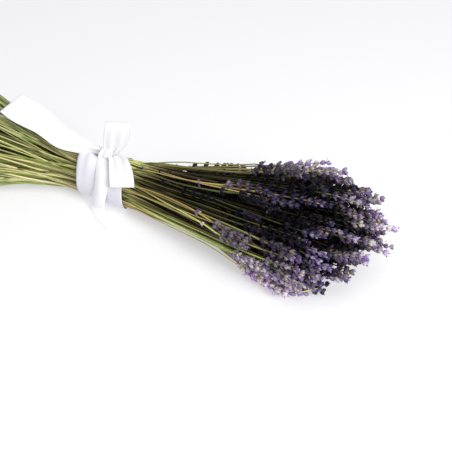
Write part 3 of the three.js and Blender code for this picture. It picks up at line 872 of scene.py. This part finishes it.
def stem_look():
    """Green to straw stems, browner past the tie, painted lighter and greener on the lit sides and painted
    darker in shade deep inside the bunch.
    """
    r = Recipe("dry_stem")
    kind, along, shade, painted_shade, painted_light = (r.attribute(name) for name in VALUES)
    green = r.steps(kind, [(0.12, 0.15, 0.03), (0.27, 0.32, 0.08), (0.58, 0.52, 0.23), (0.70, 0.60, 0.32)])
    brown = r.steps(kind, [(0.10, 0.11, 0.03), (0.27, 0.26, 0.08), (0.52, 0.41, 0.14), (0.44, 0.25, 0.075)])
    lit_side_green = r.steps(kind, [(0.30, 0.44, 0.09), (0.42, 0.53, 0.15), (0.57, 0.61, 0.26), (0.66, 0.64, 0.39)])
    # The middle of the tie is 0.37 along.
    aged = r.clamped((along - 0.38) * 6 + (shade - 0.5) * 0.9)
    cut_side = r.clamped((0.42 - along) * 8)
    colour = r.mix(aged, green, brown)
    # Painted light: paler green on the lit sides.
    colour = r.mix(painted_light, colour, lit_side_green)
    streak = r.noise(900, 3, (0.06, 1, 1))
    bright = (0.72 + 0.92 * shade - 0.26 * cut_side) * (0.75 + 0.5 * streak)
    # Painted shade: darker deep inside the bunch and on the front among the heads.
    colour = r.scale(colour, bright * (1 - STEM_SHADE * painted_shade))
    return r.finish(Base_Color=colour, Roughness=0.6, Specular_IOR_Level=0.25)


def calyx_look():
    """Dark violet calyces with a greyer foot and a dark mouth, painted lighter, lilac to lime, on the lit
    sides and painted darker in shade deep inside the bunch.
    """
    r = Recipe("dry_calyx")
    kind, along, shade, painted_shade, painted_light = (r.attribute(name) for name in VALUES)
    body = r.steps(kind, [(0.016, 0.013, 0.05), (0.045, 0.037, 0.13), (0.12, 0.10, 0.28), (0.35, 0.30, 0.48)])
    lit_side_lilac = r.steps(kind, [(0.28, 0.15, 0.44), (0.44, 0.33, 0.56), (0.62, 0.55, 0.57), (0.72, 0.67, 0.48)])
    base = r.mix(kind, (0.12, 0.11, 0.10), (0.34, 0.32, 0.24))
    colour = r.mix(r.clamped(along * 2.4), base, body)
    colour = r.mix(r.clamped((along - 0.75) * 3), colour, (0.06, 0.03, 0.12))
    # Painted light: lilac to lime on the lit sides.
    colour = r.mix(painted_light * 0.95, colour, lit_side_lilac)
    speckle = r.noise(700, 2)
    dark = 0.1 + 1.7 * shade * shade * shade
    # Painted light lifts the lit sides, and painted shade darkens deep inside the bunch and on its front.
    bright = (dark + (0.9 + 0.6 * shade - dark) * painted_light) * (0.4 + 1.2 * speckle)
    colour = r.scale(colour, bright * (1 - HEAD_SHADE * painted_shade))
    return r.finish(Base_Color=colour, Roughness=0.75, Specular_IOR_Level=0.12)


def petal_look():
    r = Recipe("withered_petal")
    kind, painted_shade, painted_light = r.attribute("kind"), r.attribute("painted_shade"), r.attribute("painted_light")
    colour = r.steps(kind, [(0.10, 0.04, 0.22), (0.16, 0.08, 0.34), (0.26, 0.16, 0.44)])
    # Painted light on the lit sides, and painted shade deep inside the bunch.
    colour = r.mix(painted_light * 0.7, colour, (0.50, 0.32, 0.72))
    colour = r.scale(colour, 1 - HEAD_SHADE * painted_shade)
    return r.finish(Base_Color=colour, Roughness=0.75, Specular_IOR_Level=0.12)


def bract_look():
    r = Recipe("dry_bract")
    kind, painted_shade = r.attribute("kind"), r.attribute("painted_shade")
    colour = r.steps(kind, [(0.20, 0.10, 0.03), (0.55, 0.27, 0.05), (0.60, 0.48, 0.14)])
    # Painted light on the lit sides, and painted shade deep inside the bunch.
    colour = r.mix(r.attribute("painted_light") * 0.7, colour, (0.52, 0.56, 0.16))
    colour = r.scale(colour, 1 - STEM_SHADE * painted_shade)
    return r.finish(Base_Color=colour, Roughness=0.8, Specular_IOR_Level=0.12)


def satin_look():
    """White satin with a faint painted glow that stands in for the light coming through it. The bow's strips
    are painted lit, whiter and glowing more, and the turns are painted in shade, greyer.
    """
    r = Recipe("white_satin")
    bow = r.attribute("kind")
    weave = r.noise(1500, 2, (0.3, 1, 1))
    return r.finish(
        # kind 0 marks the turns, painted in shade, and kind 1 the bow's strips, painted lit.
        Base_Color=r.mix(bow, (0.73, 0.72, 0.78), (0.80, 0.80, 0.82)),
        Roughness=0.4,
        Sheen_Weight=0.2,
        Sheen_Roughness=0.4,
        Emission_Color=r.mix(bow, (0.02, 0.02, 0.022), (0.055, 0.055, 0.057)),
        Emission_Strength=1.0,
        Normal=r.bump(weave, 0.00004, 0.3),
    )


# ----------------------------------------------------------------------------------------
# The ribbon.

RIBBON_WIDTH = 25
RIBBON_CLOTH = 0.28  # how thick the ribbon is
RIBBON_SKEW = 0.3  # the turns lie askew: forward on the near side
TURN_RADIUS = 19.5
FIRST_TURN_X = -11.3  # the middle of the first turn
TURN_FOLD = 0.35
UPPER_TURN = 0.45  # how far the second turn stands out from the first
DRAWN_UP = 4  # how far the first turn's edge is drawn up to the knot
TURN_REST = 0.16  # no point of the turns lies lower
STRIP_REST = 0.3  # and of the loops and ends
KNOT = np.array([4.0, 5.0, 45.5])


def through(values, count):
    """A smooth curve through rows of values, at count places."""
    values = np.array(values, float)
    t = np.linspace(0, len(values) - 1, count)
    i = np.minimum(t.astype(int), len(values) - 2)
    f = (t - i)[:, None]
    padded = np.concatenate([[2 * values[0] - values[1]], values, [2 * values[-1] - values[-2]]])
    p, q, r, s = padded[i], padded[i + 1], padded[i + 2], padded[i + 3]
    return smooth_between(p, q, r, s, f)


def grid_faces(rows, columns):
    """Faces of a sheet of rows by columns squares."""
    n = columns + 1
    return [
        [row * n + i, row * n + i + 1, (row + 1) * n + i + 1, (row + 1) * n + i]
        for row in range(rows)
        for i in range(columns)
    ]


def strip(mesh, rows, pleats, steps=56, phase=0.0):
    """A length of ribbon. Each row holds a point of either edge and how deep the pleats are there."""
    across = 24
    left = through([row[0] for row in rows], steps + 1)
    right = through([row[1] for row in rows], steps + 1)
    depth = np.maximum(through([[row[2]] for row in rows], steps + 1), 0)
    middle, side = (left + right) / 2, right - left
    face = np.cross(np.gradient(middle, axis=0), side)
    face /= np.linalg.norm(face, axis=1)[:, None]
    u = np.linspace(-0.5, 0.5, across + 1)
    wave = depth * np.cos(2 * math.pi * pleats * u + phase)
    points = middle[:, None, :] + u[:, None] * side[:, None, :] + wave[:, :, None] * face[:, None, :]
    points[:, :, 2] = np.maximum(points[:, :, 2], STRIP_REST)
    # kind 1: the satin look paints these strips lit, whiter and glowing more.
    mesh.add(points.reshape(-1, 3), grid_faces(steps, across), (1, 0, 0, 0, 0))


def turns(mesh):
    """Two turns round the stems, side by side, which start and end under the knot."""
    steps, across = 160, 16
    points = []
    for i in range(steps + 1):
        wind = 2 * i / steps
        angle = math.pi / 2 + 2 * math.pi * wind
        shift = min(1, max(0, (wind - 0.78) / 0.3))
        x = FIRST_TURN_X + RIBBON_WIDTH * shift * shift * (3 - 2 * shift)
        fold = TURN_FOLD * math.exp(-abs(math.sin(angle / 2 - math.pi / 4)) * 2.2)
        at_knot = max(0, math.cos(angle - math.radians(100))) ** 6
        for u in np.linspace(-0.5, 0.5, across + 1):
            along = x + u * RIBBON_WIDTH
            drawn_up = DRAWN_UP * at_knot * smooth_step(0, -12, along)
            bulge = TURN_RADIUS + UPPER_TURN * (wind > 0.9) + fold * math.cos(u * 19 + 1) + drawn_up
            at = along - RIBBON_SKEW * bulge * math.cos(angle)
            bulge += taper_at(at)
            z = TIE_HEIGHT + taper_at(at) + bulge * math.sin(angle)
            points.append([at, bulge * math.cos(angle), max(TURN_REST, z + lift_at(at, z))])
    # kind 0: the satin look paints the turns in shade, greyer.
    mesh.add(np.array(points), grid_faces(steps, across), (0, 0, 0, 0, 0))


# The loop that stands up behind the knot, its face to the near side.
LOOP_UP = [
    ((0.0, 5.0, 43.0), (8.5, 6.0, 44.0), 0.6),
    ((-0.6, 4.0, 53.7), (20.3, 8.0, 56.3), 0.5),
    ((1.0, 4.0, 65.8), (23.9, 9.0, 68.0), 0.25),
    ((2.1, 5.0, 74.0), (24.4, 11.0, 76.3), 0.1),
    ((1.2, 9.5, 76.8), (22.6, 15.0, 79.3), 0.0),
    ((-2.3, 14.0, 69.2), (18.9, 20.0, 71.8), 0.2),
    ((-3.1, 14.0, 55.6), (17.4, 19.0, 58.1), 0.6),
    ((0.5, 9.0, 44.3), (8.5, 11.0, 44.6), 0.8),
]

# The loop that falls forward over the turns.
LOOP_FORWARD = [
    ((-0.5, 5.5, 42.8), (0.5, 10.0, 41.0), 0.6),
    ((8.7, -3.4, 46.6), (18.3, 7.8, 45.8), 0.9),
    ((15.8, -13.9, 44.5), (28.5, -0.4, 48.8), 0.3),
    ((19.7, -20.5, 39.8), (38.1, -10.1, 46.9), 0.12),
    ((21.7, -23.5, 35.5), (44.1, -18.0, 41.8), 0.0),
    ((21.5, -22.9, 32.7), (44.3, -19.0, 38.0), 0.0),
    ((19.0, -19.0, 33.5), (40.7, -14.8, 38.3), 0.2),
    ((13.9, -11.6, 39.5), (29.6, -4.5, 42.6), 0.6),
    ((5.0, 0.0, 42.6), (9.0, 6.3, 41.9), 0.8),
]

# The long end, which springs from the knot over the spread of the cut stems.
LONG_END = [
    ((1.0, 5.5, 42.5), (3.0, 5.5, 48.5), 0.4),
    ((-13.8, 0.8, 41.6), (-9.7, 4.1, 53.0), 0.3),
    ((-26.4, -5.2, 43.4), (-19.8, 2.1, 56.6), 0.2),
    ((-41.7, -11.8, 48.6), (-41.2, 4.7, 62.0), 0.1),
    ((-63.1, -11.2, 57.0), (-61.9, 8.4, 70.5), 0.0),
    ((-85.5, -12.7, 63.0), (-80.5, 8.6, 76.5), 0.0),
    ((-103.0, -10.4, 67.5), (-90.5, 8.0, 79.0), 0.0),
]

# The short end, which falls over the turns and lies on the surface.
SHORT_END = [
    ((-3.5, 4.0, 43.5), (2.0, 5.5, 43.5), 0.6),
    ((-2.3, -5.8, 42.3), (6.6, -2.2, 43.0), 0.8),
    ((2.3, -16.9, 35.9), (14.2, -14.3, 38.0), 1.6),
    ((3.0, -22.1, 24.6), (17.2, -21.5, 27.1), 2.2),
    ((-0.5, -23.0, 12.0), (14.0, -23.4, 12.0), 2.2),
    ((-1.7, -24.1, 3.2), (12.5, -22.6, 3.2), 1.2),
    ((4.8, -29.1, 0.6), (15.7, -26.7, 0.6), 0.4),
    ((13.5, -35.5, 0.6), (21.0, -33.0, 0.6), 0.2),
    ((28.8, -43.5, 0.6), (29.4, -43.0, 0.6), 0.0),
]


def knot_band():
    """The band round the knot, from below it on the far side, over the top and under again."""
    rows = []
    for turn in np.linspace(math.radians(-70), math.radians(250), 12):
        middle = KNOT + np.array([0.0, 6.6 * math.cos(turn), 5.0 * math.sin(turn)])
        half = np.array([7.0 - 1.2 * math.sin(turn), 1.2, 0.6])
        rows.append((middle - half, middle + half, 0.5))
    return rows


def make_ribbon(material):
    mesh = Mesh()
    turns(mesh)
    strip(mesh, LOOP_UP, 2.5)
    strip(mesh, LOOP_FORWARD, 2.5, phase=1.0)
    strip(mesh, LONG_END, 2, phase=2.0)
    strip(mesh, SHORT_END, 0.5)
    strip(mesh, knot_band(), 2, 30)
    piece = mesh.make("satin_ribbon", [material])
    cloth = piece.modifiers.new("cloth", "SOLIDIFY")
    cloth.thickness = RIBBON_CLOTH * MM
    cloth.offset = 0
    return piece


# ----------------------------------------------------------------------------------------
# Floor, light and camera.


FLOOR_SIZE = 12
FLOOR_GLOW = 0.47
WORLD_LIGHT = 0.46
CAMERA_AT = (0.3896, -0.5193, 0.5172)
AZIMUTH, ELEVATION = math.radians(27), math.radians(41)
LENS, SENSOR = 70, 36


def make_stage():
    bpy.ops.mesh.primitive_plane_add(size=FLOOR_SIZE, location=(0, 0, 0))
    floor = bpy.context.object
    floor.name = "floor"
    floor.data.materials.append(
        Recipe("pale_floor").finish(
            Base_Color=(0.48, 0.48, 0.49),
            Roughness=0.9,
            Emission_Color=(0.98, 0.98, 1.0),
            Emission_Strength=FLOOR_GLOW,
        )
    )

    world = bpy.data.worlds.new("studio")
    bpy.context.scene.world = world
    world.use_nodes = True
    background = world.node_tree.nodes["Background"]
    background.inputs["Color"].default_value = (0.97, 0.97, 1.0, 1)
    background.inputs["Strength"].default_value = WORLD_LIGHT

    def lamp(name, at, to, size, power):
        light = bpy.data.lights.new(name, "AREA")
        light.shape, light.size, light.energy = "DISK", size, power
        holder = bpy.data.objects.new(name, light)
        holder.location = at
        holder.rotation_euler = (Vector(to) - Vector(at)).to_track_quat("-Z", "Y").to_euler()
        bpy.context.scene.collection.objects.link(holder)

    lamp("top_light", (0.35, -0.3, 1.4), (0.08, 0, 0), 1.1, 9)
    lamp("side_light", (1.1, -0.42, 0.72), (0.15, 0, 0), 0.55, 12)

    camera = bpy.data.objects.new("camera", bpy.data.cameras.new("camera"))
    back = Vector(
        (
            math.sin(AZIMUTH) * math.cos(ELEVATION),
            -math.cos(AZIMUTH) * math.cos(ELEVATION),
            math.sin(ELEVATION),
        )
    )
    camera.location = CAMERA_AT
    camera.rotation_euler = (-back).to_track_quat("-Z", "Y").to_euler()
    camera.data.lens = LENS
    camera.data.sensor_width = SENSOR
    bpy.context.scene.collection.objects.link(camera)
    bpy.context.scene.camera = camera
    bpy.context.scene.view_settings.view_transform = "Standard"


# ----------------------------------------------------------------------------------------


def main():
    bundles = plant_bundles()
    settle(bundles)
    stem, calyx, petal, bract = stem_look(), calyx_look(), petal_look(), bract_look()
    sprigs = sprigs_of(bundles)
    for bundle in bundles:
        stems, heads = Mesh(), Mesh()
        for sprig in sprigs:
            if sprig["bundle"] is bundle:
                add_stem(stems, sprig)
                add_head(heads, sprig)
        for mesh, kind, looks, slot in (
            (stems, "stems", [stem], "lavender_stem"),
            (heads, "flower_heads", [calyx, petal, bract], "lavender_flower"),
        ):
            piece = mesh.make(f"fine_{kind}_{bundle['number']}", looks)
            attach(piece, "root")
            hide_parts(f"{kind}_{bundle['number']}")
    ribbon = make_ribbon(satin_look())
    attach(ribbon, "root")
    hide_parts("ribbon")
    make_stage()


main()
